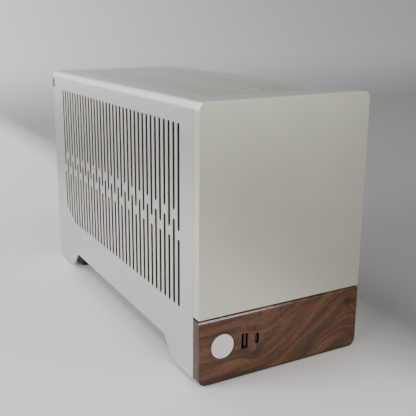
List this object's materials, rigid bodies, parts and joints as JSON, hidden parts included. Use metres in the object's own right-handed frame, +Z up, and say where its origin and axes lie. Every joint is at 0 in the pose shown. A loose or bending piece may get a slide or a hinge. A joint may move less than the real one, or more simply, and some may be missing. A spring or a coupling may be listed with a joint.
{
  "type": "desktop computer tower",
  "caption": "Small aluminium desktop computer tower with slotted side and top panels, a plain front plate over a wooden strip with button and ports, and full inner parts.",
  "frame": {"origin": "centre of the bounding box at the standing surface", "axes": "+Y from the front plate to the rear panel, +Z up, +X to the right seen from the front"},
  "size_m": [0.153, 0.343, 0.218],
  "materials": {
    "panel_aluminium": "fine bead-blasted clear anodised sheet",
    "front_aluminium": "fine bead-blasted anodised plate with polished edge chamfer",
    "walnut": "oiled walnut with dark figured grain",
    "button_aluminium": "turned and anodised, bright rim",
    "black_steel": "fine-textured black powder coat",
    "bright_steel": "plain zinc-plated steel",
    "screw_steel": "black oxide screws",
    "pin_steel": "ground steel",
    "black_plastic": "moulded black plastic",
    "fan_plastic": "satin moulded fan plastic",
    "latch_plastic": "light grey moulded plastic",
    "jack_plastic": "black jack bodies",
    "rubber": "soft black rubber",
    "cable_jacket": "flexible cable jacket",
    "ribbon_film": "flat laminated cable",
    "board_laminate": "black solder mask with components",
    "circuit_board": "green solder mask with components",
    "brass": "turned brass",
    "copper": "nickel-free copper base and pipes",
    "fin_aluminium": "pressed bare aluminium fins",
    "black_aluminium": "black anodised aluminium"
  },
  "bodies": {
    "chassis": {"top_panel": "panel_aluminium", "front_plate": "front_aluminium", "wood_strip": "walnut", "power_switch": "bright_steel", "usb_a_port": "screw_steel", "usb_c_port": "screw_steel", "front_io_board": "circuit_board", "base_plate": "black_steel", "chassis_feet": "black_steel", "foot_pads": "rubber", "hinge_pins": "pin_steel", "catch_clips": "black_plastic", "front_frame": "black_steel", "rear_frame": "black_steel", "top_rails": "black_steel", "centre_wall": "black_steel", "chassis_screws": "screw_steel", "io_shield": "bright_steel", "motherboard": "board_laminate", "board_standoffs": "brass", "rear_data_ports": "bright_steel", "lan_port": "bright_steel", "audio_jacks": "jack_plastic", "processor": "bright_steel", "board_sockets": "black_plastic", "memory_modules": "black_aluminium", "storage_heatsink": "black_aluminium", "vrm_heatsinks": "black_aluminium", "cooler_base": "copper", "cooler_fins": "fin_aluminium", "cooler_fan_frame": "fan_plastic", "psu_case": "black_steel", "psu_circuit": "circuit_board", "psu_fan_grille": "screw_steel", "psu_bracket": "black_steel", "power_inlet": "black_plastic", "inlet_lead": "cable_jacket", "power_leads": "cable_jacket", "card_board": "board_laminate", "card_heatsink": "fin_aluminium", "card_shroud": "black_plastic", "card_bracket": "bright_steel", "riser_socket": "black_plastic", "riser_ribbon": "ribbon_film"},
    "left_panel": {"left_side_panel": "panel_aluminium", "left_panel_hooks": "bright_steel", "left_pull_tab": "black_plastic", "left_catch_studs": "pin_steel"},
    "right_panel": {"right_side_panel": "panel_aluminium", "right_panel_hooks": "bright_steel", "right_pull_tab": "black_plastic", "right_catch_studs": "pin_steel"},
    "button": {"power_button": "button_aluminium"},
    "rocker": {"psu_rocker": "black_plastic"},
    "cooler_rotor": {"cooler_fan_rotor": "fan_plastic"},
    "psu_rotor": {"psu_fan_rotor": "fan_plastic"},
    "card_rotor_front": {"card_fan_front": "fan_plastic"},
    "card_rotor_rear": {"card_fan_rear": "fan_plastic"},
    "latch_upper": {"ram_latch_upper": "latch_plastic"},
    "latch_lower": {"ram_latch_lower": "latch_plastic"}
  },
  "joints": [
    {"name": "left_panel_swing", "type": "hinge", "parent": "chassis", "child": "left_panel", "pos_m": [-0.071, 0, 0.008], "axis": [0, -1, 0], "range_deg": [0, 40]},
    {"name": "right_panel_swing", "type": "hinge", "parent": "chassis", "child": "right_panel", "pos_m": [0.071, 0, 0.008], "axis": [0, 1, 0], "range_deg": [0, 40]},
    {"name": "power_button_press", "type": "slide", "parent": "chassis", "child": "button", "axis": [0, 1, 0], "range_m": [0, 0.0015], "stiffness_N_per_m": 1200, "springref_m": -0.0006},
    {"name": "psu_rocker_tilt", "type": "hinge", "parent": "chassis", "child": "rocker", "pos_m": [-0.038, -0.127, 0.14], "axis": [0, 0, -1], "range_deg": [0, 16]},
    {"name": "cooler_fan_spin", "type": "hinge", "parent": "chassis", "child": "cooler_rotor", "pos_m": [-0.06, 0.088, 0.1335], "axis": [1, 0, 0], "continuous": true},
    {"name": "psu_fan_spin", "type": "hinge", "parent": "chassis", "child": "psu_rotor", "pos_m": [-0.057, -0.078, 0.1405], "axis": [1, 0, 0], "continuous": true},
    {"name": "card_fan_front_spin", "type": "hinge", "parent": "chassis", "child": "card_rotor_front", "pos_m": [0.056, -0.0305, 0.116], "axis": [1, 0, 0], "continuous": true},
    {"name": "card_fan_rear_spin", "type": "hinge", "parent": "chassis", "child": "card_rotor_rear", "pos_m": [0.056, 0.0915, 0.116], "axis": [1, 0, 0], "continuous": true},
    {"name": "ram_latch_upper_open", "type": "hinge", "parent": "chassis", "child": "latch_upper", "pos_m": [-0.0086, 0.013, 0.1992], "axis": [0, 1, 0], "range_deg": [0, 25]},
    {"name": "ram_latch_lower_open", "type": "hinge", "parent": "chassis", "child": "latch_lower", "pos_m": [-0.0086, 0.003, 0.1992], "axis": [0, 1, 0], "range_deg": [0, 25]}
  ]
}
